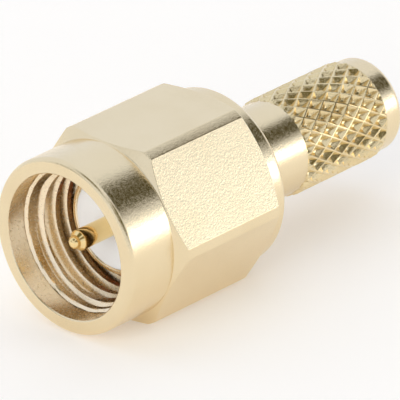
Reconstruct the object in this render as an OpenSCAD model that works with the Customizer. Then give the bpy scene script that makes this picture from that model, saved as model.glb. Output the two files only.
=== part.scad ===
// Straight coaxial plug of the SMA kind for crimping onto a cable: a threaded hexagonal coupling nut
// turns freely on a plug body, which carries the insulator, the pin contact and the knurled crimp stem.
// Millimetres. The axis is +Y, from the mating end to the cable end. The origin is on the axis in the
// reference plane, which is the front face of the body's nose. The plug lies on a flat of its nut.

/* [Coupling nut] */
// Length of the coupling nut
nut_length = 9.5; // [8.6:0.1:11]
// How far the nut's front face stands ahead of the reference plane
nut_lead = 2.93; // [2.6:0.01:3.1]
// Width of the hexagon across its flats
nut_across_flats = 8; // [7.9:0.05:8.4]
// How far the hexagon's corners are turned down
nut_corner_turn = 0.13; // [0.05:0.01:0.3]
// Height of the flats over the round barrels ahead of and behind them
nut_flat_height = 0.05; // [0.02:0.01:0.2]
// Length of the round barrel ahead of the hexagon
nut_front_barrel = 2.55; // [2:0.05:3]
// Length of the round barrel behind the hexagon
nut_rear_barrel = 0.75; // [0.4:0.05:1]
// Angle of the hexagon's turned chamfers from the end faces
nut_chamfer_angle = 30; // [15:1:45]
// Rounding of the nut's outer rims
nut_rim_round = 0.25; // [0.1:0.05:0.4]

/* [Coupling thread] */
// Room between the crests of the thread and the body's journal
thread_room = 0.18; // [0.1:0.01:0.22]
// Depth of the thread
thread_depth = 0.345; // [0.3:0.005:0.4]
// Room of the lead-in and of the undercut outside the thread
thread_relief = 0.08; // [0.04:0.01:0.15]
// Depth of the lead-in from the nut's front face
lead_in_depth = 1; // [0.5:0.05:1.2]
// Length of the threaded wall
thread_length = 3.8; // [3.4:0.05:4]
// Length of the undercut behind the thread
undercut_length = 0.7; // [0.4:0.05:0.9]
// Break of the bore's front and rear edges
bore_edge_break = 0.05; // [0.02:0.01:0.1]

/* [Plug body] */
// Wall of the nose around the insulator
nose_wall = 0.23; // [0.18:0.01:0.28]
// Length of the nose from the reference plane to the shoulder
nose_length = 1.95; // [1.8:0.01:2.1]
// Break of the nose's and the shoulder's front edges
nose_edge_break = 0.06; // [0.02:0.01:0.08]
// Height of the shoulder behind the nose
shoulder_height = 0.36; // [0.34:0.01:0.42]
// How far the journal, which the nut turns on, reaches behind the nut
journal_overrun = 0.65; // [0.4:0.05:1]
// Radial clearance between the journal and the nut
journal_clearance = 0.05; // [0.02:0.01:0.08]
// Length of the cone from the journal to the stem
stem_cone_length = 0.4; // [0.2:0.05:0.6]

/* [Crimp stem] */
// Bore of the stem, for the cable's dielectric
stem_bore_dia = 3.04; // [2.9:0.02:3.1]
// Wall of the plain stem
stem_wall = 0.61; // [0.55:0.01:0.64]
// Length of the plain stem ahead of the knurl
stem_length = 2.3; // [1.6:0.1:3]
// Length of the knurl
knurl_length = 5.1; // [4.5:0.1:6]
// Height of the knurl's ridges over the plain stem
knurl_rise = 0.12; // [0.08:0.01:0.16]
// Depth of the knurl's diamond pits
knurl_depth = 0.2; // [0.12:0.01:0.24]
// Number of diamonds around the stem
knurl_count = 22; // [18:1:26]
// Number of diamonds along the stem
knurl_rows = 5; // [3:1:7]
// Share of each diamond that the flat tops of its ridges take
knurl_land = 0.16; // [0.1:0.02:0.4]
// Share of each diamond that the flat floor of its pit takes
knurl_floor = 0.2; // [0.1:0.02:0.5]
// Length of the plain ring behind the knurl
tail_length = 1; // [0.6:0.05:1.4]
// Rounding of the stem's rear rim
tail_round = 0.3; // [0.1:0.05:0.4]

/* [Insulator] */
// Diameter of the insulator
insulator_dia = 4.12; // [4.06:0.01:4.14]
// How far the insulator ends ahead of the journal's end
insulator_setback = 1; // [0.6:0.05:1.4]
// Break of the insulator's rims
insulator_edge_break = 0.08; // [0.02:0.01:0.15]
// Length of the insulator's front web, which fits the pin
insulator_web = 0.15; // [0.1:0.01:0.2]

/* [Pin contact] */
// Diameter of the mating pin
pin_dia = 0.914; // [0.9:0.002:0.94]
// How far the pin stands ahead of the reference plane
pin_lead = 2.5; // [2:0.02:2.54]
// Width of the cone between the pin and the ball at its tip
pin_cone = 0.155; // [0.1:0.005:0.2]
// Height of the shank over the pin
shank_height = 0.178; // [0.15:0.002:0.22]
// Height of the solder cup over the shank
cup_height = 0.165; // [0.1:0.005:0.25]
// Length of the solder cup
cup_length = 2.3; // [2:0.05:2.5]
// Wall of the solder cup
cup_wall = 0.29; // [0.2:0.01:0.35]
// Wall between the cup's bore and the shank
cup_floor = 0.4; // [0.3:0.05:0.8]
// Diameter of the solder hole in the cup's side
solder_hole_dia = 0.5; // [0.3:0.02:0.6]
// Height of the chamber around the cup over the stem's bore
chamber_height = 0.28; // [0.2:0.01:0.33]
// Room between the cup's end and the stem's bore
chamber_room = 0.4; // [0.3:0.05:0.5]
// Clearance of the contact in the insulator
contact_clearance = 0.005; // [0.005:0.005:0.02]

/* [Retaining ring] */
// Width of the retaining ring along the axis
ring_width = 0.5; // [0.4:0.02:0.6]
// Radial thickness of the retaining ring
ring_wall = 0.52; // [0.48:0.01:0.56]
// Depth of the body's groove for the ring
ring_groove_depth = 0.31; // [0.26:0.01:0.34]
// Opening angle of the split ring
ring_gap_angle = 28; // [16:1:40]
// Length of the bearing between the undercut and the ring
ring_land = 0.8; // [0.6:0.05:1]
// Clearance of the ring in both of its grooves
ring_clearance = 0.06; // [0.03:0.01:0.08]

/* [Gasket] */
// Thickness of the gasket along the axis
gasket_width = 0.55; // [0.4:0.05:0.7]
// Radial width of the gasket
gasket_wall = 0.32; // [0.25:0.01:0.34]
// Clearance of the gasket on the nose
gasket_clearance = 0.02; // [0.01:0.01:0.05]

/* [Hidden] */
$fn = 96;
// How far cuts run past a face, and how far turned lengths reach into each other
through = 0.2;
root = 0.05;

// Diameters, each from the piece or the wall inside it
nose_dia = insulator_dia + 2 * nose_wall;
journal_dia = nose_dia + 2 * shoulder_height;
journal_bore_dia = journal_dia + 2 * journal_clearance;
thread_minor_dia = journal_dia + 2 * thread_room;
relief_dia = thread_minor_dia + 2 * (thread_depth + thread_relief);
nut_barrel_dia = nut_across_flats - 2 * nut_flat_height;
nut_corner_dia = nut_across_flats / cos(30) - 2 * nut_corner_turn;
stem_dia = stem_bore_dia + 2 * stem_wall;
knurl_dia = stem_dia + 2 * knurl_rise;
chamber_dia = stem_bore_dia + 2 * chamber_height;
shank_dia = pin_dia + 2 * shank_height;
pin_tip_dia = pin_dia - 2 * pin_cone;
cup_dia = shank_dia + 2 * cup_height;
cup_bore_dia = cup_dia - 2 * cup_wall;
body_groove_dia = journal_dia - 2 * ring_groove_depth;
ring_inner_dia = body_groove_dia + 2 * ring_clearance;
ring_outer_dia = ring_inner_dia + 2 * ring_wall;
nut_groove_dia = ring_outer_dia + 2 * ring_clearance;
gasket_inner_dia = nose_dia + 2 * gasket_clearance;

// Stations along the axis, from the reference plane
nut_front = -nut_lead;
nut_back = nut_front + nut_length;
// The lead-in narrows to the thread at 45 degrees
lead_in_cone = (relief_dia - thread_minor_dia) / 2;
thread_front = nut_front + lead_in_depth;
thread_back = thread_front + lead_in_cone + thread_length;
undercut_back = thread_back + undercut_length;
shoulder = nose_length;
ring_front = undercut_back + ring_land;
groove_front = ring_front - ring_clearance;
groove_width = ring_width + 2 * ring_clearance;
journal_back = nut_back + journal_overrun;
stem_front = journal_back + stem_cone_length;
knurl_front = stem_front + stem_length;
knurl_back = knurl_front + knurl_length;
stem_back = knurl_back + tail_length;
insulator_back = journal_back - insulator_setback;
cup_back = insulator_back + cup_length;
cup_bore_front = insulator_back + cup_floor;
chamber_back = cup_back + chamber_room;

// Lays a piece that was turned about +Z along +Y
module lay_down() {
    rotate([-90, 0, 0]) children();
}

// Half section of a plain turned length from z0 to z1
module turned(z0, z1, dia) {
    translate([0, z0]) square([dia / 2, z1 - z0]);
}

// What a rounding of radius r takes off a rim; facing is -1 for a front rim and +1 for a rear one
module rim_waste(z, dia, r, facing) {
    translate([dia / 2 - r, z - facing * r])
        mirror([0, facing < 0 ? 1 : 0])
            difference() {
                square(r + through);
                circle(r);
            }
}

// A turned bore, cut right through its ends
module bore(z0, z1, dia) {
    translate([0, 0, z0]) cylinder(d = dia, h = z1 - z0);
}

// A 45 degree break at the mouth of a bore; facing is -1 for a front mouth and +1 for a rear one
module mouth(z, dia, size, facing) {
    reach = size + through;
    translate([0, 0, z + facing * through])
        mirror([0, 0, facing > 0 ? 1 : 0])
            cylinder(d1 = dia + 2 * reach, d2 = dia, h = reach);
}

// Half section of the nut's turned outline, round barrels and chamfered corners
module nut_outline() {
    slope = tan(nut_chamfer_angle);
    rise = (nut_corner_dia - nut_barrel_dia) / 2 * slope;
    front = nut_front + nut_front_barrel;
    back = nut_back - nut_rear_barrel;
    difference() {
        polygon([
            [0, nut_front],
            [nut_barrel_dia / 2, nut_front],
            [nut_barrel_dia / 2, front],
            [nut_corner_dia / 2, front + rise],
            [nut_corner_dia / 2, back - rise],
            [nut_barrel_dia / 2, back],
            [nut_barrel_dia / 2, nut_back],
            [0, nut_back]
        ]);
        rim_waste(nut_front, nut_barrel_dia, nut_rim_round, -1);
        rim_waste(nut_back, nut_barrel_dia, nut_rim_round, 1);
    }
}

module coupling_nut() {
    color("#dccb9c")
        lay_down()
            difference() {
                intersection() {
                    rotate_extrude() nut_outline();
                    translate([0, 0, nut_front - through])
                        linear_extrude(nut_length + 2 * through)
                            circle(d = nut_across_flats / cos(30), $fn = 6);
                }
                bore(nut_front - through, thread_front, relief_dia);
                mouth(nut_front, relief_dia, bore_edge_break, -1);
                translate([0, 0, thread_front])
                    cylinder(d1 = relief_dia, d2 = thread_minor_dia, h = lead_in_cone);
                bore(thread_front, thread_back + through, thread_minor_dia);
                bore(thread_back, undercut_back, relief_dia);
                bore(thread_back, nut_back + through, journal_bore_dia);
                bore(groove_front, groove_front + groove_width, nut_groove_dia);
                mouth(nut_back, journal_bore_dia, bore_edge_break, 1);
            }
}

// A point on the knurl, at an angle counted in diamonds around the stem
function knurl_point(turn, z, r) = [
    r * cos(turn * 360 / knurl_count),
    r * sin(turn * 360 / knurl_count),
    z
];

// A pit's outline: the corners of its cell, drawn in towards the cell's middle, at radius r
function pit_outline(corners, share, r) =
    let (middle = [for (c = corners) 1] * corners / len(corners))
        [
            for (c = corners)
                let (p = middle + share * (c - middle))
                    knurl_point(p[0], p[1], r)
        ];

// Faces of one cell: the ridge around the pit, the pit's wall and its floor. rim holds the cell's
// crossings and k is the first point of the pit's upper outline, which its floor's points follow.
function pit_faces(rim, k) =
    let (n = len(rim))
        concat(
            [
                for (c = [0:n - 1])
                    let (d = (c + 1) % n)
                        each [
                            [rim[c], k + c, rim[d]],
                            [rim[d], k + c, k + d],
                            [k + c, k + n + c, k + d],
                            [k + d, k + n + c, k + n + d]
                        ]
            ],
            [for (c = [1:n - 2]) [k + n, k + n + c + 1, k + n + c]]
        );

// The knurled band as one closed solid. Ridges with flat tops cross in a staggered net, and each
// diamond between them is a flat-bottomed pit. Every level of the net holds one ring of crossings.
module knurled_band() {
    n = knurl_count;
    levels = 2 * knurl_rows;
    step = knurl_length / levels;
    crest = knurl_dia / 2;
    // Turn and height of a crossing, and its index
    function crossing(j, i) = [i + (j % 2) / 2, knurl_front + j * step];
    function at(j, i) = j * n + i % n;
    // Each cell as the net's places of its corners: whole diamonds, then the halves at both ends
    diamonds = [
        for (j = [1:levels - 1], i = [0:n - 1])
            let (next = i + j % 2)
                [[j, i], [j - 1, next], [j, i + 1], [j + 1, next]]
    ];
    halves = [
        for (i = [0:n - 1])
            each [
                [[0, i], [0, i + 1], [1, i]],
                [[levels, i], [levels - 1, i], [levels, i + 1]]
            ]
    ];
    cells = concat(diamonds, halves);
    crossings = [
        for (j = [0:levels], i = [0:n - 1])
            let (p = crossing(j, i))
                knurl_point(p[0], p[1], crest)
    ];
    pits = [
        for (cell = cells)
            let (corners = [for (c = cell) crossing(c[0], c[1])])
                each concat(
                    pit_outline(corners, 1 - knurl_land, crest),
                    pit_outline(corners, knurl_floor, crest - knurl_depth)
                )
    ];
    ends = [[0, 0, knurl_front], [0, 0, knurl_back]];
    first_pit = len(crossings);
    first_half_pit = first_pit + 8 * len(diamonds);
    first_end = len(crossings) + len(pits);
    cell_faces = [
        for (c = [0:len(cells) - 1])
            let (
                rim = [for (place = cells[c]) at(place[0], place[1])],
                past = c - len(diamonds)
            )
                each pit_faces(rim, past < 0 ? first_pit + 8 * c : first_half_pit + 6 * past)
    ];
    end_faces = [
        for (i = [0:n - 1])
            each [
                [at(0, i), at(0, i + 1), first_end],
                [at(levels, i + 1), at(levels, i), first_end + 1]
            ]
    ];
    polyhedron(
        points = concat(crossings, pits, ends),
        faces = concat(cell_faces, end_faces),
        convexity = 6
    );
}

// Half section of the body from the nose to the plain stem, with the retaining ring's groove
module front_section() {
    difference() {
        polygon([
            [0, 0],
            [nose_dia / 2 - nose_edge_break, 0],
            [nose_dia / 2, nose_edge_break],
            [nose_dia / 2, shoulder],
            [journal_dia / 2 - nose_edge_break, shoulder],
            [journal_dia / 2, shoulder + nose_edge_break],
            [journal_dia / 2, journal_back],
            [stem_dia / 2, stem_front],
            [stem_dia / 2, knurl_front + root],
            [0, knurl_front + root]
        ]);
        translate([body_groove_dia / 2, groove_front])
            square([journal_dia, groove_width]);
    }
}

// Half section of the plain ring behind the knurl
module tail_section() {
    difference() {
        turned(knurl_back - root, stem_back, stem_dia);
        rim_waste(stem_back, stem_dia, tail_round, 1);
    }
}

module plug_body() {
    color("#d8c48e")
        lay_down()
            difference() {
                union() {
                    rotate_extrude() front_section();
                    knurled_band();
                    rotate_extrude() tail_section();
                }
                bore(-through, insulator_back, insulator_dia);
                mouth(0, insulator_dia, nose_edge_break, -1);
                bore(insulator_back - root, chamber_back, chamber_dia);
                bore(chamber_back - root, stem_back + through, stem_bore_dia);
                mouth(stem_back, stem_bore_dia, bore_edge_break, 1);
            }
}

module insulator() {
    color("white")
        lay_down()
            difference() {
                rotate_extrude()
                    polygon([
                        [0, 0],
                        [insulator_dia / 2 - insulator_edge_break, 0],
                        [insulator_dia / 2, insulator_edge_break],
                        [insulator_dia / 2, insulator_back - insulator_edge_break],
                        [insulator_dia / 2 - insulator_edge_break, insulator_back],
                        [0, insulator_back]
                    ]);
                bore(-through, insulator_web + through, pin_dia + 2 * contact_clearance);
                bore(insulator_web, insulator_back + through, shank_dia + 2 * contact_clearance);
            }
}

// Half section of the contact: pin with a coned and rounded tip, shank, and solder cup
module contact_section() {
    ball_middle = -pin_lead + pin_tip_dia / 2;
    intersection() {
        translate([0, ball_middle]) circle(d = pin_tip_dia, $fn = 48);
        translate([0, -pin_lead - through]) square([pin_dia, pin_tip_dia + through]);
    }
    polygon([
        [0, ball_middle],
        [pin_tip_dia / 2, ball_middle],
        [pin_dia / 2, ball_middle + pin_cone],
        [pin_dia / 2, insulator_web],
        [shank_dia / 2, insulator_web],
        [shank_dia / 2, insulator_back],
        [cup_dia / 2, insulator_back],
        [cup_dia / 2, cup_back],
        [0, cup_back]
    ]);
}

module pin_contact() {
    color("#dfb35c")
        lay_down()
            difference() {
                rotate_extrude() contact_section();
                bore(cup_bore_front, cup_back + through, cup_bore_dia);
                translate([0, 0, cup_bore_front + solder_hole_dia])
                    rotate([90, 0, 0])
                        cylinder(d = solder_hole_dia, h = cup_dia, $fn = 32);
            }
}

module retaining_ring() {
    color("#b9a36a")
        lay_down()
            difference() {
                rotate_extrude()
                    translate([ring_inner_dia / 2, ring_front])
                        square([ring_wall, ring_width]);
                translate([0, 0, ring_front - through])
                    linear_extrude(ring_width + 2 * through)
                        polygon([
                            [0, 0],
                            ring_outer_dia * [cos(ring_gap_angle / 2), sin(ring_gap_angle / 2)],
                            ring_outer_dia * [cos(ring_gap_angle / 2), -sin(ring_gap_angle / 2)]
                        ]);
            }
}

module gasket() {
    color("#c8563c")
        lay_down()
            rotate_extrude()
                translate([gasket_inner_dia / 2, shoulder - gasket_width])
                    square([gasket_wall, gasket_width]);
}

coupling_nut();
plug_body();
insulator();
pin_contact();
retaining_ring();
gasket();
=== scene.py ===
# %% [markdown]
# # A gold plated coaxial screw plug
#
# The object is a small radio connector, about 19 mm long: a coupling nut with a round front and a
# hexagon, a plug body inside it with a knurled stem for the cable's braid, a white insulator, and
# a gold pin in the middle. The exact solids come from the frame. Here each piece gets the small
# forms and the surface that the eye reads: the fine thread, soft edges, the knurl, the blasted
# plating. Everything is in metres, along the same Y axis as the solids.

# %% Load the frame
import math
import random

import bmesh
import bpy
from mathutils import Matrix, Vector


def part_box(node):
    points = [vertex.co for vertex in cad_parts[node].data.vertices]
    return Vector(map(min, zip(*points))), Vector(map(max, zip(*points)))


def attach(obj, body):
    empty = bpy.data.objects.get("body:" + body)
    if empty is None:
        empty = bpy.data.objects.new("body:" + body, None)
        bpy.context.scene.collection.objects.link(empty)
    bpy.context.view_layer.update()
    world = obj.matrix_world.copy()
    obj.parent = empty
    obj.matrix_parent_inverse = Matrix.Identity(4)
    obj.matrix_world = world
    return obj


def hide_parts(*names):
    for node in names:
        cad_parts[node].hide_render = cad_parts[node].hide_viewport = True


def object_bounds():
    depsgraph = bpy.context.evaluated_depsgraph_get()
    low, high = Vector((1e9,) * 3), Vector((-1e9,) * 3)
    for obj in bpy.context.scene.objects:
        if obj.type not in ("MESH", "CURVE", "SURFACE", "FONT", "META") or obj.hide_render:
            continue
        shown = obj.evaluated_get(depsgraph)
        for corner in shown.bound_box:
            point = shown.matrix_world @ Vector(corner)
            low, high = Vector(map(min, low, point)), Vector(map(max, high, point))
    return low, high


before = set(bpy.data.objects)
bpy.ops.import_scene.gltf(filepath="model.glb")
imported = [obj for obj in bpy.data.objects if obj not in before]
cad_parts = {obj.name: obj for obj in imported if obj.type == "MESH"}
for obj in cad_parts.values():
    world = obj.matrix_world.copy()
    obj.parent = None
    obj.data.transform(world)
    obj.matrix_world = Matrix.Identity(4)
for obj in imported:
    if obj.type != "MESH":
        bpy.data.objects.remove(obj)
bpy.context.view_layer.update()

MM = 0.001
TURN = 2 * math.pi

# %% [markdown]
# ## Stations
#
# A lathe hand works from shoulders along the axis, and so do these pieces. The ends of every piece
# are read from the frame's own boxes, so the dress always fits the solids. Only the forms
# that a box can't tell, such as the depth of the thread, are written down as numbers.

# %% Read the stations from the frame
def station(node, side):
    """Where a node starts (side 0) or ends (side 1) along the axis, in mm."""
    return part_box(node)[side][1] / MM


nut_front, nut_back = station("coupling_nut", 0), station("coupling_nut", 1)
half_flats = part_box("coupling_nut")[1][2] / MM
corner_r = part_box("coupling_nut")[1][0] / MM
stem_back = station("plug_body", 1)
insulator_back = station("insulator", 1)
insulator_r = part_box("insulator")[1][0] / MM
ring_front, ring_back = station("retaining_ring", 0), station("retaining_ring", 1)
gasket_front, gasket_back = station("gasket", 0), station("gasket", 1)
pin_front = station("pin_contact", 0)
cup_back = station("pin_contact", 1)
print("nut", nut_front, nut_back, "flats", half_flats, "corners", corner_r, "stem end", stem_back)

# %% [markdown]
# ## Turning a profile
#
# Almost every piece here is turned on a lathe. A lathe piece can be a screw modifier on a curve,
# stacked cylinders, or a profile that `bmesh.ops.spin` sweeps once around the axis. The spin is the
# closest to the real cut and keeps every edge where the drawing has it. The corners of the profile
# are rounded first, while it is still a wire: that is one cheap vertex bevel, and each
# corner can have its own radius, as the tool's nose leaves it.

# %% A helper that draws and spins a profile
def profile_wire(bm, corners, closed):
    """Draw (radius, station, rounding) corners as a wire in the XY plane, in mm, and round them."""
    points = [bm.verts.new((r * MM, y * MM, 0)) for r, y, rounding in corners]
    pairs = list(zip(points, points[1:]))
    if closed:
        pairs.append((points[-1], points[0]))
    for pair in pairs:
        bm.edges.new(pair)
    for size in sorted({rounding for r, y, rounding in corners if rounding}):
        chosen = [p for p, c in zip(points, corners) if c[2] == size]
        bmesh.ops.bevel(bm, geom=chosen, offset=size * MM, offset_type="OFFSET",
                        segments=9 if size > 0.1 else 4, profile=0.5, affect="VERTICES",
                        material=-1)
    # A point close to each end of a long stretch keeps its shading straight up to the corner
    for edge in [e for e in bm.edges if e.calc_length() > 0.15 * MM]:
        for corner in list(edge.verts):
            bmesh.utils.edge_split(edge, corner, 0.015 * MM / edge.calc_length())


def spin_wire(bm, steps):
    """Sweep the whole wire once around the axis and close the seam."""
    bmesh.ops.spin(bm, geom=bm.verts[:] + bm.edges[:], cent=(0, 0, 0), axis=(0, 1, 0),
                   angle=TURN, steps=steps, use_merge=True)
    bmesh.ops.remove_doubles(bm, verts=bm.verts[:], dist=1e-7)


def turned(corners, steps=288, closed=True):
    """A turned solid from its half profile."""
    bm = bmesh.new()
    profile_wire(bm, corners, closed)
    spin_wire(bm, steps)
    return bm


def finish_piece(bm, name, body, node=None, sharp=28):
    """Turn a bmesh into a named object that rides on its body, smooth up to a sharp angle."""
    bmesh.ops.recalc_face_normals(bm, faces=bm.faces[:])
    if bm.calc_volume(signed=True) < 0:
        bmesh.ops.reverse_faces(bm, faces=bm.faces[:])
    bm.normal_update()
    mesh = bpy.data.meshes.new(name)
    bm.to_mesh(mesh)
    open_edges = sum(1 for e in bm.edges if len(e.link_faces) != 2)
    triangles = sum(len(f.verts) - 2 for f in bm.faces)
    bm.free()
    mesh.shade_smooth()
    mesh.set_sharp_from_angle(angle=math.radians(sharp))
    piece = bpy.data.objects.new(name, mesh)
    bpy.context.scene.collection.objects.link(piece)
    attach(piece, body)
    if node:
        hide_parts(node)
    print(name, "triangles", triangles, "open edges", open_edges)
    return piece


# %% [markdown]
# ## The coupling nut, outside
#
# The real nut is turned from hexagon bar: a round barrel in front, chamfered corners front and
# back, a short barrel behind. A boolean of a cylinder and a hexagon would do it, but leaves ragged
# curves. Here the round outline is spun with the full corners, and six `bisect_plane` cuts
# mill the flats. Where a flat runs out on a cone it leaves the arch that every nut shows.

# %% Spin the outline and the bore's plain walls
# Lengths in mm: the flats stand a little over the barrels, the chamfers lie at 30 degrees
FLAT_HEIGHT, FRONT_BARREL, REAR_BARREL = 0.05, 2.55, 0.75
CHAMFER = math.tan(math.radians(30))
EDGE_BREAK, RIM_ROUND, RING_CLEARANCE = 0.05, 0.24, 0.06
NUT_STEPS = 288
bore_r, journal_bore_r = 3.255, 2.70
ring_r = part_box("retaining_ring")[1][0] / MM
groove_r = ring_r + RING_CLEARANCE
groove_front, groove_back = ring_front - RING_CLEARANCE, ring_back + RING_CLEARANCE
barrel_r = half_flats - FLAT_HEIGHT
rise = (corner_r - barrel_r) * CHAMFER
front_shoulder, back_shoulder = nut_front + FRONT_BARREL, nut_back - REAR_BARREL
thread_mouth, undercut_end = nut_front + 1.0, nut_front + 5.925
thread_rim = nut_front + 5.275

outline = [
    (bore_r, thread_mouth, 0),
    (bore_r, nut_front + EDGE_BREAK, 0.01),
    (bore_r + EDGE_BREAK, nut_front, 0.02),
    (barrel_r, nut_front, RIM_ROUND),
    (barrel_r, front_shoulder, 0.03),
    (corner_r, front_shoulder + rise, 0.03),
    (corner_r, back_shoulder - rise, 0.03),
    (barrel_r, back_shoulder, 0.03),
    (barrel_r, nut_back, RIM_ROUND),
    (journal_bore_r + EDGE_BREAK, nut_back, 0.02),
    (journal_bore_r, nut_back - EDGE_BREAK, 0.01),
    (journal_bore_r, groove_back, 0),
    (groove_r, groove_back, 0),
    (groove_r, groove_front, 0),
    (journal_bore_r, groove_front, 0),
    (journal_bore_r, undercut_end, 0),
    (bore_r, undercut_end, 0.04),
    (bore_r, thread_rim, 0),
]
nut = turned(outline, NUT_STEPS, closed=False)
print("outline faces", len(nut.faces))

# %% Mill the six flats and ease their edges
def cut_off(bm, point, outward, dist=1e-8, keep=False):
    """Cut a mesh with a plane and drop what lies outside it, unless it is to be kept."""
    return bmesh.ops.bisect_plane(bm, geom=bm.verts[:] + bm.edges[:] + bm.faces[:], dist=dist,
                                  plane_co=point, plane_no=outward, clear_outer=not keep)


FLAT_CORNERS = 20  # only the milled flats have more corners than this
for turn_deg in range(0, 360, 60):
    direction = Vector((math.sin(math.radians(turn_deg)), 0, math.cos(math.radians(turn_deg))))
    cut = cut_off(nut, direction * half_flats * MM, direction)
    rim = [e for e in cut["geom_cut"] if isinstance(e, bmesh.types.BMEdge) and e.is_boundary]
    bmesh.ops.edgeloop_fill(nut, edges=rim)
bmesh.ops.recalc_face_normals(nut, faces=nut.faces[:])
flats = [f for f in nut.faces if len(f.verts) > FLAT_CORNERS]
flat_edges = list({e for f in flats for e in f.edges})
bmesh.ops.bevel(nut, geom=flat_edges, offset=0.028 * MM, offset_type="OFFSET", segments=2,
                profile=0.5, affect="EDGES", clamp_overlap=True, material=-1)
print("flats", len(flats), "edges eased", len(flat_edges))

# %% [markdown]
# ## The coupling thread
#
# The thread is a 60 degree groove, right-handed, that climbs 0.7 mm a turn. A bump texture can't
# show its crests against the light, and a separate coil of wire looks stuck on. So the zigzag
# section of the whole thread is drawn once and spun with a small step along the axis for every
# step of the turn, which is exactly how a thread is cut. The ends then run out on the cone and in
# the undercut: every point that would stand inside those turned surfaces is pushed out to them.

# %% Draw the section
minor_r, major_r, pitch = 2.89, 3.165, 0.7056


def thread_section(first, last):
    """Zigzag corners (radius, station) of an inside thread, one pitch after the other."""
    depth = major_r - minor_r
    flank = depth * math.tan(math.radians(30))
    spare = (pitch - 2 * flank) / 2
    corners = []
    y = first
    while y < last:
        corners += [(minor_r, y), (minor_r, y + spare * 1.3), (major_r, y + spare * 1.3 + flank),
                    (major_r, y + spare * 2 + flank)]
        y += pitch
    corners.append((minor_r, y))
    return corners


def fine_points(corners, longest):
    """The same polyline with more points, so that the run-out bends smoothly."""
    points = []
    for (r0, y0), (r1, y1) in zip(corners, corners[1:]):
        parts = max(1, math.ceil(math.hypot(r1 - r0, y1 - y0) / longest))
        points += [(r0 + (r1 - r0) * i / parts, y0 + (y1 - y0) * i / parts) for i in range(parts)]
    return points + [corners[-1]]


# A crest passes the -X side of the bore 1.9 mm behind the nut's front
section_start = nut_front + 1.81 - pitch * 3.5
section = fine_points(thread_section(section_start, nut_front + 5.225 + pitch * 0.6), 0.045)
print("section points", len(section))

# %% Cut the helix
thread = bmesh.new()
wire = [thread.verts.new((r * MM, y * MM, 0)) for r, y in section]
for pair in zip(wire, wire[1:]):
    thread.edges.new(pair)
bmesh.ops.spin(thread, geom=thread.verts[:] + thread.edges[:], cent=(0, 0, 0), axis=(0, 1, 0),
               angle=TURN, steps=NUT_STEPS, dvec=(0, pitch * MM / NUT_STEPS, 0),
               use_merge=False)
bmesh.ops.remove_doubles(thread, verts=thread.verts[:], dist=2e-6)
# The mouth drops by a steep step to a slow cone, and the far end opens into the undercut
MOUTH_STEP, MOUTH_CONE_R, MOUTH_CONE, UNDERCUT_SLOPE = 1.6, 3.12, 0.3, 2.0
for v in thread.verts:
    r = math.hypot(v.co.x, v.co.z) / MM
    y = v.co.y / MM
    step = bore_r - max(0.0, y - thread_mouth) * MOUTH_STEP
    cone = max(step, MOUTH_CONE_R - max(0.0, y - thread_mouth - 0.08) * MOUTH_CONE)
    undercut = bore_r - max(0.0, (thread_rim - y) * UNDERCUT_SLOPE)
    wanted = min(max(r, cone, undercut), bore_r)
    v.co.x *= wanted / r
    v.co.z *= wanted / r
for station_y, side in ((thread_mouth, -1), (thread_rim, 1)):
    cut_off(thread, (0, station_y * MM, 0), (0, side, 0))
# The cut crosses the climbing rows too: those extra points go, so that the rims match the nut's
between = []
for v in thread.verts:
    steps_round = math.atan2(v.co.z, v.co.x) / TURN * NUT_STEPS
    if v.is_boundary and abs(steps_round - round(steps_round)) > 0.02:
        between.append(v)
bmesh.ops.dissolve_verts(thread, verts=between)
print("thread faces", len(thread.faces))

# %% Join thread and nut
def pour(source, target):
    """Add one bmesh to another and free the first."""
    mesh = bpy.data.meshes.new("poured")
    source.to_mesh(mesh)
    source.free()
    target.from_mesh(mesh)
    bpy.data.meshes.remove(mesh)


pour(thread, nut)
rims = [v for v in nut.verts if v.is_boundary]
bmesh.ops.remove_doubles(nut, verts=rims, dist=2e-6)
print("open edges after the weld", sum(1 for e in nut.edges if e.is_boundary))
coupling_nut = finish_piece(nut, "nut_turned", "nut", "coupling_nut", sharp=12)
for polygon in coupling_nut.data.polygons:
    polygon.use_smooth = len(polygon.vertices) < FLAT_CORNERS

# %% [markdown]
# ## The plug body
#
# Inside the nut sits the body: a nose ring that meets the jack, a journal that the nut spins on,
# a cone, and the stem for the cable's braid. All of it is one turned bar, so it is one profile
# again. The knurled band between the two open rims is made on its own below.

# %% Turn the nose, the journal, the stem and the bores
nose_r, journal_r, stem_r, knurl_r = 2.29, 2.65, 2.13, 2.25
chamber_r, stem_bore_r = 1.80, 1.52
RING_WALL, NOSE_BREAK = 0.52, 0.06
shoulder = gasket_back
journal_back = 7.22
stem_front = journal_back + 0.4
knurl_front = stem_front + 2.3
knurl_back = stem_back - 1.0
chamber_back = cup_back + 0.4
body_groove_r = ring_r - RING_WALL - RING_CLEARANCE

body_profile = [
    (stem_r, knurl_front, 0),
    (stem_r, stem_front, 0.08),
    (journal_r, journal_back, 0.04),
    (journal_r, groove_back, 0),
    (body_groove_r, groove_back, 0),
    (body_groove_r, groove_front, 0),
    (journal_r, groove_front, 0),
    (journal_r, shoulder, NOSE_BREAK),
    (nose_r, shoulder, 0),
    (nose_r, 0, NOSE_BREAK),
    (insulator_r + NOSE_BREAK, 0, 0.015),
    (insulator_r, NOSE_BREAK, 0.015),
    (insulator_r, insulator_back, 0),
    (chamber_r, insulator_back, 0),
    (chamber_r, chamber_back, 0),
    (stem_bore_r, chamber_back, 0.02),
    (stem_bore_r, stem_back - EDGE_BREAK, 0.01),
    (stem_bore_r + EDGE_BREAK, stem_back, 0.02),
    (stem_r, stem_back, 0.3),
    (stem_r, knurl_back, 0),
]
body = turned(body_profile, 264, closed=False)
print("body faces", len(body.faces))

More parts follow.
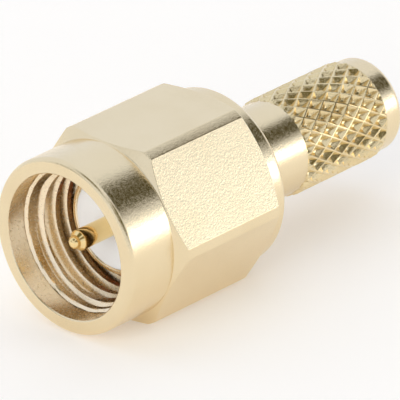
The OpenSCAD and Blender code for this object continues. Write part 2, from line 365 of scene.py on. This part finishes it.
# %% [markdown]
# ## The knurl
#
# The knurl is rolled: two wheels press crossed grooves, metal rises between them, and diamond
# pits stay in rows. A net of crossed ridges could be cut by hundreds of booleans, or
# painted on as bump, but the outline of the stem would stay smooth. Here a flat grid is turned
# on its corner, every cell is inset to leave a ridge around it and its middle is pushed
# down, and the finished sheet is rolled round the stem as the wheel did.

# %% Emboss the flat sheet
DIAMONDS, ROWS = 22, 5
# Each step goes further in from the ridge and further down
PRESS = ((0.022, 0.0), (0.02, -0.02), (0.08, -0.1), (0.07, -0.08), (0.03, -0.01))
cell_width = TURN * stem_r / DIAMONDS
cell_height = (knurl_back - knurl_front) / ROWS
reach = DIAMONDS + 6
knurl = bmesh.new()
bmesh.ops.create_grid(knurl, x_segments=reach, y_segments=reach, size=0.5)
bmesh.ops.rotate(knurl, cent=(0, 0, 0), matrix=Matrix.Rotation(math.radians(45), 3, "Z"),
                 verts=knurl.verts[:])
spread = reach / math.sqrt(2)
bmesh.ops.scale(knurl, vec=(spread * cell_width, spread * cell_height, 1), verts=knurl.verts[:])
cells = knurl.faces[:]
for inward, down in PRESS:
    bmesh.ops.inset_individual(knurl, faces=cells, thickness=inward, depth=down,
                               use_even_offset=True)
bmesh.ops.poke(knurl, faces=cells, offset=0.0, center_mode="MEAN_WEIGHTED")
print("diamonds pressed", len(cells), "faces", len(knurl.faces))

# %% Trim the sheet and let the rolling run out at both ends
half_round, half_long = DIAMONDS * cell_width / 2, ROWS * cell_height / 2
FADE, GAP, DENT = 0.16, 0.01, 0.006
for x, y, side_x, side_y in ((half_round, 0, 1, 0), (-half_round, 0, -1, 0),
                             (0, half_long - GAP, 0, 1), (0, GAP - half_long, 0, -1)):
    cut_off(knurl, (x, y, 0), (side_x, side_y, 0), dist=1e-6)
for y in (half_long - FADE, FADE - half_long, half_long - FADE / 2, FADE / 2 - half_long):
    cut_off(knurl, (0, y, 0), (0, 1, 0), dist=1e-6, keep=True)
random_dents = random.Random(7)
for v in knurl.verts:
    dent = random_dents.uniform(-DENT, DENT)
    on_seam = abs(abs(v.co.x) - half_round) < 1e-4
    height = knurl_r - stem_r + v.co.z + (0 if on_seam else dent)
    to_end = max(0.0, min(1.0, (half_long - GAP - abs(v.co.y)) / FADE))
    v.co.z = stem_r + height * (to_end * to_end * (3 - 2 * to_end))
print("points dented", len(knurl.verts))

# %% Roll it round the stem
def rim_at(bm, y):
    """The open edges of a round rim at one station."""
    return [e for e in bm.edges if e.is_boundary
            and all(abs(v.co.y / MM - y) < 1e-3 for v in e.verts)]


middle = (knurl_front + knurl_back) / 2
for v in knurl.verts:
    around = v.co.x / half_round * math.pi
    v.co = Vector((math.cos(around) * v.co.z, middle + v.co.y, math.sin(around) * v.co.z)) * MM
bmesh.ops.remove_doubles(knurl, verts=knurl.verts[:], dist=3e-6)
pour(knurl, body)
for plain_y, rolled_y in ((knurl_front, knurl_front + GAP), (knurl_back, knurl_back - GAP)):
    bmesh.ops.bridge_loops(body, edges=rim_at(body, plain_y) + rim_at(body, rolled_y))
plug_body = finish_piece(body, "body_turned", "plug", "plug_body", sharp=26)

# %% [markdown]
# ## The insulator, the pin and the gasket
#
# The white insulator is a turned rod of fluoropolymer with eased rims. The pin is turned too: its
# tip is a small ball ahead of a short cone, which guides it into the socket. The side hole of its
# solder cup could be cut by a boolean, but it lies hidden in the stem and only the solids have it.
# The gasket is a ring with soft corners. All are spun as the nut was, finer than the solids they
# stand for, because a polished pin shows every flat.

# %% Insulator
pin_r, shank_r, cup_r, cup_bore_r, ball_r = 0.457, 0.635, 0.80, 0.51, 0.302
web_back = 0.15
CONTACT_CLEARANCE, CONE_LENGTH, CUP_FLOOR, GASKET_CLEARANCE = 0.005, 0.155, 0.4, 0.02
insulator = turned([
    (pin_r + CONTACT_CLEARANCE, 0, 0.01),
    (insulator_r, 0, 0.07),
    (insulator_r, insulator_back, 0.07),
    (shank_r + CONTACT_CLEARANCE, insulator_back, 0.02),
    (shank_r + CONTACT_CLEARANCE, web_back, 0),
    (pin_r + CONTACT_CLEARANCE, web_back, 0),
], steps=160)
finish_piece(insulator, "insulator_turned", "plug", "insulator")

# %% Pin with its solder cup
ball_middle = pin_front + ball_r
arc = [(ball_r * math.sin(math.radians(a)), ball_middle - ball_r * math.cos(math.radians(a)), 0)
       for a in range(0, 91, 6)]
pin = turned(arc + [
    (ball_r + 0.004, ball_middle, 0),
    (pin_r, ball_middle + CONE_LENGTH, 0.03),
    (pin_r, web_back, 0),
    (shank_r, web_back, 0),
    (shank_r, insulator_back, 0),
    (cup_r, insulator_back, 0.03),
    (cup_r, cup_back, 0.05),
    (cup_bore_r, cup_back, 0.05),
    (cup_bore_r, insulator_back + CUP_FLOOR, 0.02),
    (0, insulator_back + CUP_FLOOR, 0),
], steps=128, closed=False)
bmesh.ops.remove_doubles(pin, verts=pin.verts[:], dist=1e-7)
finish_piece(pin, "pin_turned", "plug", "pin_contact")

# %% Gasket
gasket_outer_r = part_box("gasket")[1][0] / MM
gasket = turned([
    (nose_r + GASKET_CLEARANCE, gasket_front, 0.08),
    (gasket_outer_r, gasket_front, 0.08),
    (gasket_outer_r, gasket_back, 0.04),
    (nose_r + GASKET_CLEARANCE, gasket_back, 0.04),
], steps=144)
finish_piece(gasket, "gasket_moulded", "plug", "gasket")

# %% [markdown]
# ## Camera
#
# A small part is best seen from far away through a long lens, so that its round faces stay true
# ellipses. The camera stands about a third of a metre off, to the front and right of the nut and
# 25 degrees above it, and leans by a little more than a degree.

# %% Place the camera
forward = Vector((-0.6218, 0.6550, -0.4300)).normalized()
right = Vector((0.7324, 0.6809, -0.0210))
right = (right - forward * right.dot(forward)).normalized()
up = right.cross(forward)
camera_data = bpy.data.cameras.new("long_lens")
camera_data.lens = 716
camera_data.sensor_width = 36
camera_data.clip_start = 0.01
camera_data.clip_end = 10
camera = bpy.data.objects.new("camera", camera_data)
bpy.context.scene.collection.objects.link(camera)
camera.matrix_world = Matrix((
    (right.x, up.x, -forward.x, 0.21015),
    (right.y, up.y, -forward.y, -0.21596),
    (right.z, up.z, -forward.z, 0.14450),
    (0, 0, 0, 1),
))
bpy.context.scene.camera = camera
print("camera looks along", tuple(round(v, 3) for v in forward))

# %% [markdown]
# ## The blasted gold
#
# The plating lies over sand-blasted brass, so it isn't a mirror: it is a satin made of tiny dents,
# each of which throws its own spark, strongest where a bright and a dark reflection meet. Only
# raising the roughness would give a smooth blur without sparks. So a node group makes two grains, a
# fine one for the sparks and a broader one for the soft unevenness, and gives back a normal, a
# roughness and a slight change of tone. Each plating uses it with its own values: the outside, the
# knurl, the machined bores and the polished contact. The knurl's tone is painted darker, a painted
# shade for its pits, and the bores' tone is painted lighter, a painted light for the dim inside of
# the nut.

# %% Node helpers
def add_node(tree, kind, **values):
    """A node with some of its properties set."""
    node = tree.nodes.new(kind)
    for name, value in values.items():
        setattr(node, name, value)
    return node


def noise(tree, vector, scale, detail=2.0, roughness=0.5):
    """A noise texture on a vector, at a number of waves per metre."""
    node = add_node(tree, "ShaderNodeTexNoise")
    node.inputs["Scale"].default_value = scale
    node.inputs["Detail"].default_value = detail
    node.inputs["Roughness"].default_value = roughness
    tree.links.new(vector, node.inputs["Vector"])
    return node.outputs["Fac"]


def ramp(tree, value, low, high, to_low, to_high):
    """Map a value from one range to another, clamped."""
    node = add_node(tree, "ShaderNodeMapRange")
    for name, number in (("From Min", low), ("From Max", high), ("To Min", to_low)):
        node.inputs[name].default_value = number
    node.inputs["To Max"].default_value = to_high
    tree.links.new(value, node.inputs["Value"])
    return node.outputs["Result"]


def arithmetic(tree, operation, a, b):
    """A math node on two sockets or numbers."""
    node = add_node(tree, "ShaderNodeMath", operation=operation)
    for socket, value in zip(node.inputs, (a, b)):
        if isinstance(value, (int, float)):
            socket.default_value = value
        else:
            tree.links.new(value, socket)
    return node.outputs[0]


# %% The blasted grain group
def new_group(name, inputs, outputs):
    """An empty shader node group with its sockets, and its two end nodes."""
    group = bpy.data.node_groups.new(name, "ShaderNodeTree")
    for label, kind, value in inputs:
        socket = group.interface.new_socket(label, in_out="INPUT", socket_type=kind)
        if value is not None:
            socket.default_value = value
    for label, kind in outputs:
        group.interface.new_socket(label, in_out="OUTPUT", socket_type=kind)
    return group, group.nodes.new("NodeGroupInput"), group.nodes.new("NodeGroupOutput")


grain, given, result = new_group(
    "blasted_grain",
    [("Vector", "NodeSocketVector", None), ("Fine Scale", "NodeSocketFloat", 14000.0),
     ("Depth", "NodeSocketFloat", 0.5), ("Roughness", "NodeSocketFloat", 0.25),
     ("Sparkle", "NodeSocketFloat", 0.06), ("Tone", "NodeSocketColor", (0.86, 0.72, 0.46, 1)),
     ("Worn Tone", "NodeSocketColor", (0.80, 0.66, 0.41, 1))],
    [("Color", "NodeSocketColor"), ("Roughness", "NodeSocketFloat"),
     ("Normal", "NodeSocketVector")])
fine = add_node(grain, "ShaderNodeTexNoise")
fine.inputs["Detail"].default_value = 3.0
fine.inputs["Roughness"].default_value = 0.6
grain.links.new(given.outputs["Vector"], fine.inputs["Vector"])
grain.links.new(given.outputs["Fine Scale"], fine.inputs["Scale"])
broad = noise(grain, given.outputs["Vector"], 8000, 2.0)
cloud = noise(grain, given.outputs["Vector"], 420, 3.0)
height = arithmetic(grain, "ADD", arithmetic(grain, "MULTIPLY", fine.outputs["Fac"], 0.8),
                    arithmetic(grain, "MULTIPLY", broad, 0.5))
dents = add_node(grain, "ShaderNodeBump")
dents.inputs["Distance"].default_value = 0.000015
grain.links.new(given.outputs["Depth"], dents.inputs["Strength"])
grain.links.new(height, dents.inputs["Height"])
shine = arithmetic(grain, "ADD", given.outputs["Roughness"],
                   arithmetic(grain, "MULTIPLY", given.outputs["Sparkle"],
                              ramp(grain, broad, 0.35, 0.65, -1.0, 1.0)))
tone = add_node(grain, "ShaderNodeMix", data_type="RGBA")
grain.links.new(ramp(grain, cloud, 0.4, 0.68, 0.0, 1.0), tone.inputs["Factor"])
grain.links.new(given.outputs["Tone"], tone.inputs["A"])
grain.links.new(given.outputs["Worn Tone"], tone.inputs["B"])
grain.links.new(tone.outputs["Result"], result.inputs["Color"])
grain.links.new(shine, result.inputs["Roughness"])
grain.links.new(dents.outputs["Normal"], result.inputs["Normal"])


def new_material(name, metallic=0.0):
    """An empty material, its node tree and its Principled shader."""
    material = bpy.data.materials.new(name)
    material.use_nodes = True
    shader = material.node_tree.nodes["Principled BSDF"]
    shader.inputs["Metallic"].default_value = metallic
    return material, material.node_tree, shader


def plating(name, tone_colour, worn_colour, roughness, depth, fine_scale=14000, sparkle=0.05):
    """A gold plated metal with the blasted grain."""
    material, tree, shader = new_material(name, metallic=1.0)
    where = add_node(tree, "ShaderNodeTexCoord")
    finish = add_node(tree, "ShaderNodeGroup", node_tree=grain)
    for label, value in (("Fine Scale", fine_scale), ("Depth", depth), ("Roughness", roughness),
                         ("Sparkle", sparkle), ("Tone", (*tone_colour, 1)),
                         ("Worn Tone", (*worn_colour, 1))):
        finish.inputs[label].default_value = value
    tree.links.new(where.outputs["Object"], finish.inputs["Vector"])
    tree.links.new(finish.outputs["Color"], shader.inputs["Base Color"])
    tree.links.new(finish.outputs["Roughness"], shader.inputs["Roughness"])
    tree.links.new(finish.outputs["Normal"], shader.inputs["Normal"])
    print("plating", name)
    return material


# %% The four platings
blasted_gold = plating("blasted_gold", (0.87, 0.725, 0.475), (0.85, 0.70, 0.45), 0.22, 0.5)
# The knurl's gold is painted darker and more saturated, a painted shade for its deep pits; its
# deeper grain and lower roughness are the rolled finish.
knurl_gold_painted_shade = plating("knurl_gold_painted_shade", (0.84, 0.69, 0.41), (0.78, 0.62, 0.34), 0.18, 0.9)
# The bores' gold is painted lighter and pinker, a painted light for the dim inside of the nut; its
# finer grain is the machined finish.
bore_gold_painted_light = plating("bore_gold_painted_light", (0.96, 0.80, 0.57), (0.94, 0.77, 0.51), 0.24, 0.25,
                    fine_scale=11000)
contact_gold = plating("contact_gold", (0.93, 0.72, 0.36), (0.90, 0.68, 0.32), 0.06, 0.05,
                       fine_scale=6000, sparkle=0.02)

# %% [markdown]
# ## White insulator, gasket and spring ring
#
# The fluoropolymer is a dense waxy white: light goes a little way in and comes out soft. The
# silicone gasket is dull and faintly mottled. The spring ring is bronze with drawn lines along the
# wire, hidden between nut and body, but it has its finish as well. Each is a small material
# of its own, because they share no effect with the gold.

# %% Their materials
def plastic(name, colour, other, roughness, scale, bump):
    """A soft plastic or rubber with a faint mottle and a fine skin."""
    material, tree, shader = new_material(name)
    where = add_node(tree, "ShaderNodeTexCoord")
    mottle = noise(tree, where.outputs["Object"], scale, 3.0)
    mix = add_node(tree, "ShaderNodeMix", data_type="RGBA")
    tree.links.new(ramp(tree, mottle, 0.3, 0.7, 0.0, 1.0), mix.inputs["Factor"])
    mix.inputs["A"].default_value = (*colour, 1)
    mix.inputs["B"].default_value = (*other, 1)
    tree.links.new(mix.outputs["Result"], shader.inputs["Base Color"])
    tree.links.new(ramp(tree, mottle, 0.3, 0.7, roughness - 0.05, roughness + 0.05),
                   shader.inputs["Roughness"])
    skin = add_node(tree, "ShaderNodeBump")
    skin.inputs["Strength"].default_value = bump
    skin.inputs["Distance"].default_value = 0.00001
    tree.links.new(noise(tree, where.outputs["Object"], scale * 4, 2.0), skin.inputs["Height"])
    tree.links.new(skin.outputs["Normal"], shader.inputs["Normal"])
    print("plastic", name)
    return material, shader


fluoropolymer, shader = plastic("fluoropolymer_white", (0.93, 0.925, 0.91), (0.90, 0.895, 0.88),
                                0.38, 1500, 0.2)
shader.inputs["Subsurface Weight"].default_value = 0.25
shader.inputs["Subsurface Radius"].default_value = (0.0004, 0.0004, 0.0004)
shader.inputs["Subsurface Scale"].default_value = 1.0
silicone, shader = plastic("silicone_orange", (0.66, 0.25, 0.12), (0.58, 0.20, 0.09),
                           0.5, 2500, 0.4)

# %% Drawn bronze for the spring ring
spring, tree, shader = new_material("spring_bronze", metallic=1.0)
where = add_node(tree, "ShaderNodeTexCoord")
stretch = add_node(tree, "ShaderNodeMapping")
stretch.inputs["Scale"].default_value = (1, 12, 1)
tree.links.new(where.outputs["Object"], stretch.inputs["Vector"])
lines = noise(tree, stretch.outputs["Vector"], 1800, 4.0)
mix = add_node(tree, "ShaderNodeMix", data_type="RGBA")
tree.links.new(lines, mix.inputs["Factor"])
mix.inputs["A"].default_value = (0.62, 0.44, 0.24, 1)
mix.inputs["B"].default_value = (0.72, 0.54, 0.30, 1)
tree.links.new(mix.outputs["Result"], shader.inputs["Base Color"])
tree.links.new(ramp(tree, lines, 0.3, 0.7, 0.25, 0.4), shader.inputs["Roughness"])
drawn = add_node(tree, "ShaderNodeBump")
drawn.inputs["Strength"].default_value = 0.3
drawn.inputs["Distance"].default_value = 0.00001
tree.links.new(lines, drawn.inputs["Height"])
tree.links.new(drawn.outputs["Normal"], shader.inputs["Normal"])
print("bronze", spring.name)

# %% Put the finishes on
for piece, finishes in ((coupling_nut, (blasted_gold, bore_gold_painted_light)),
                        (plug_body, (blasted_gold, bore_gold_painted_light, knurl_gold_painted_shade))):
    for finish in finishes:
        piece.data.materials.append(finish)
for polygon in coupling_nut.data.polygons:
    x, y, z = (c / MM for c in polygon.center)
    inside = math.hypot(x, z) < bore_r + 0.02 and y > nut_front + 0.02
    polygon.material_index = 1 if inside else 0
for polygon in plug_body.data.polygons:
    x, y, z = (c / MM for c in polygon.center)
    rolled = knurl_front + 0.02 < y < knurl_back - 0.02 and math.hypot(x, z) > chamber_r + 0.1
    polygon.material_index = 2 if rolled else 1 if y < shoulder + 0.05 else 0
for name, material in (("insulator_turned", fluoropolymer), ("pin_turned", contact_gold),
                       ("gasket_moulded", silicone)):
    bpy.data.objects[name].data.materials.append(material)
ring_mesh = bpy.data.objects["retaining_ring"].data
ring_mesh.materials.clear()
ring_mesh.materials.append(spring)
print("materials", sorted(m.name for m in bpy.data.materials))

# %% [markdown]
# ## Surround and light
#
# A plated part shows its surroundings more than its own colour, so the cards around it are the
# real work. The real set is a white tent with one bright panel to the right behind the part,
# and a dark gap above it that gives the gold its deep band. Lamps alone leave black holes between
# them. Here the world is the tent, with soft-edged round cards painted into it by direction. One
# area lamp is the bright panel, and a soft sun from the front fills the mouth of the nut.

# %% A node group for a soft round card
card_group, given, result = new_group(
    "card_mask",
    [("Direction", "NodeSocketVector", None), ("Middle", "NodeSocketVector", (0, 0, 1)),
     ("Radius", "NodeSocketFloat", 20.0), ("Softness", "NodeSocketFloat", 6.0)],
    [("Mask", "NodeSocketFloat")])
unit = add_node(card_group, "ShaderNodeVectorMath", operation="NORMALIZE")
dot = add_node(card_group, "ShaderNodeVectorMath", operation="DOT_PRODUCT")
link = card_group.links.new
link(given.outputs["Direction"], unit.inputs[0])
link(unit.outputs["Vector"], dot.inputs[0])
link(given.outputs["Middle"], dot.inputs[1])
away = arithmetic(card_group, "DEGREES", arithmetic(card_group, "ARCCOSINE",
                                                    dot.outputs["Value"], 0), 0)
fall = add_node(card_group, "ShaderNodeMapRange", interpolation_type="SMOOTHSTEP")
fall.inputs["To Min"].default_value = 1.0
fall.inputs["To Max"].default_value = 0.0
link(away, fall.inputs["Value"])
for operation, end in (("SUBTRACT", "From Min"), ("ADD", "From Max")):
    link(arithmetic(card_group, operation, given.outputs["Radius"], given.outputs["Softness"]),
         fall.inputs[end])
link(fall.outputs["Result"], result.inputs["Mask"])
print("card group nodes", len(card_group.nodes))

# %% The tent and its cards
def toward(azimuth, elevation):
    """A direction from its azimuth, counted from +X towards +Y, and its elevation."""
    a, e = math.radians(azimuth), math.radians(elevation)
    return (math.cos(a) * math.cos(e), math.sin(a) * math.cos(e), math.sin(e))


TENT = (0.86, 0.91, 1.02)
CARDS = [
    # azimuth, elevation, radius, softness, colour
    (61, 41, 18, 6, (0.07, 0.06, 0.02)),
    (-95, 52, 17, 6, (0.2, 0.18, 0.09)),
    (-50, 30, 12, 5, (0.24, 0.21, 0.12)),
    (-10, 36, 22, 7, (0.15, 0.13, 0.06)),
    (-125, 12, 9, 5, (0.4, 0.38, 0.3)),
]
world = bpy.data.worlds.new("tent")
bpy.context.scene.world = world
world.use_nodes = True
tree = world.node_tree
background = tree.nodes["Background"]
direction = add_node(tree, "ShaderNodeTexCoord")
tent_colour = add_node(tree, "ShaderNodeRGB")
tent_colour.outputs[0].default_value = (*TENT, 1)
last = tent_colour.outputs[0]
for azimuth, elevation, radius, softness, card_colour in CARDS:
    card = add_node(tree, "ShaderNodeGroup", node_tree=card_group)
    card.inputs["Middle"].default_value = toward(azimuth, elevation)
    card.inputs["Radius"].default_value = radius
    card.inputs["Softness"].default_value = softness
    tree.links.new(direction.outputs["Generated"], card.inputs["Direction"])
    mix = add_node(tree, "ShaderNodeMix", data_type="RGBA")
    tree.links.new(card.outputs["Mask"], mix.inputs["Factor"])
    tree.links.new(last, mix.inputs["A"])
    mix.inputs["B"].default_value = (*card_colour, 1)
    last = mix.outputs["Result"]
# The camera itself sees a plain white behind the part
paths = add_node(tree, "ShaderNodeLightPath")
seen = add_node(tree, "ShaderNodeMix", data_type="RGBA")
seen.inputs["B"].default_value = (1, 1, 1, 1)
tree.links.new(paths.outputs["Is Camera Ray"], seen.inputs["Factor"])
tree.links.new(last, seen.inputs["A"])
tree.links.new(seen.outputs["Result"], background.inputs["Color"])
background.inputs["Strength"].default_value = 1.0
print("cards", len(CARDS))

# %% The bright panel and the front fill
def lamp(name, kind, azimuth, elevation, distance):
    """A light that faces the middle of the nut from a direction."""
    data = bpy.data.lights.new(name, kind)
    light = bpy.data.objects.new(name, data)
    bpy.context.scene.collection.objects.link(light)
    away = Vector(toward(azimuth, elevation)) * distance
    light.location = Vector((0, 0.004, 0)) + away
    light.rotation_euler = (-away).to_track_quat("-Z", "Y").to_euler()
    return light, data


# The panel's power follows from its size and from how bright it looks
PANEL_WIDTH, PANEL_HEIGHT, PANEL_RADIANCE = 0.10, 0.072, 2.1
panel, data = lamp("bright_panel", "AREA", 38, 5, 0.20)
data.shape = "RECTANGLE"
data.size, data.size_y = PANEL_WIDTH, PANEL_HEIGHT
data.energy = PANEL_RADIANCE * math.pi * PANEL_WIDTH * PANEL_HEIGHT

# The broad sun lights the white insulator deep in the nut. Polished surfaces don't see it, as
# they wouldn't see a lamp behind a large sheet of tracing paper
fill, data = lamp("front_fill", "SUN", -80, 18, 0.20)
data.energy = 1.4
data.angle = math.radians(50)
fill.visible_glossy = False
print("lights", panel.name, fill.name)

# %% [markdown]
# ## Floor
#
# The part lies on plain white card. A floor that only scatters light looks grey at the exposure
# that suits the gold, so a little glow is added for what the camera and the polished surfaces
# see. It is the same everywhere, so the soft shadow under the part stays.

# %% Lay the floor
floor_mesh = bmesh.new()
bmesh.ops.create_grid(floor_mesh, x_segments=1, y_segments=1, size=0.8)
bmesh.ops.translate(floor_mesh, vec=(0, 0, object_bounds()[0][2]), verts=floor_mesh.verts[:])
floor_data = bpy.data.meshes.new("floor")
floor_mesh.to_mesh(floor_data)
floor_mesh.free()
floor = bpy.data.objects.new("floor", floor_data)
bpy.context.scene.collection.objects.link(floor)
GLOW = 0.24
card_stock, tree, shader = new_material("white_card")
shader.inputs["Base Color"].default_value = (0.9, 0.86, 0.8, 1)
shader.inputs["Roughness"].default_value = 0.9
shader.inputs["Specular IOR Level"].default_value = 0.2
shader.inputs["Emission Color"].default_value = (1, 0.97, 0.93, 1)
paths = add_node(tree, "ShaderNodeLightPath")
either = arithmetic(tree, "MAXIMUM", paths.outputs["Is Camera Ray"],
                    paths.outputs["Is Glossy Ray"])
seen = arithmetic(tree, "MAXIMUM", either, paths.outputs["Is Transmission Ray"])
tree.links.new(arithmetic(tree, "MULTIPLY", seen, GLOW), shader.inputs["Emission Strength"])
floor.data.materials.append(card_stock)
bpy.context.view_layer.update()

# %% Picture settings, and the end
bpy.context.scene.view_settings.view_transform = "Standard"
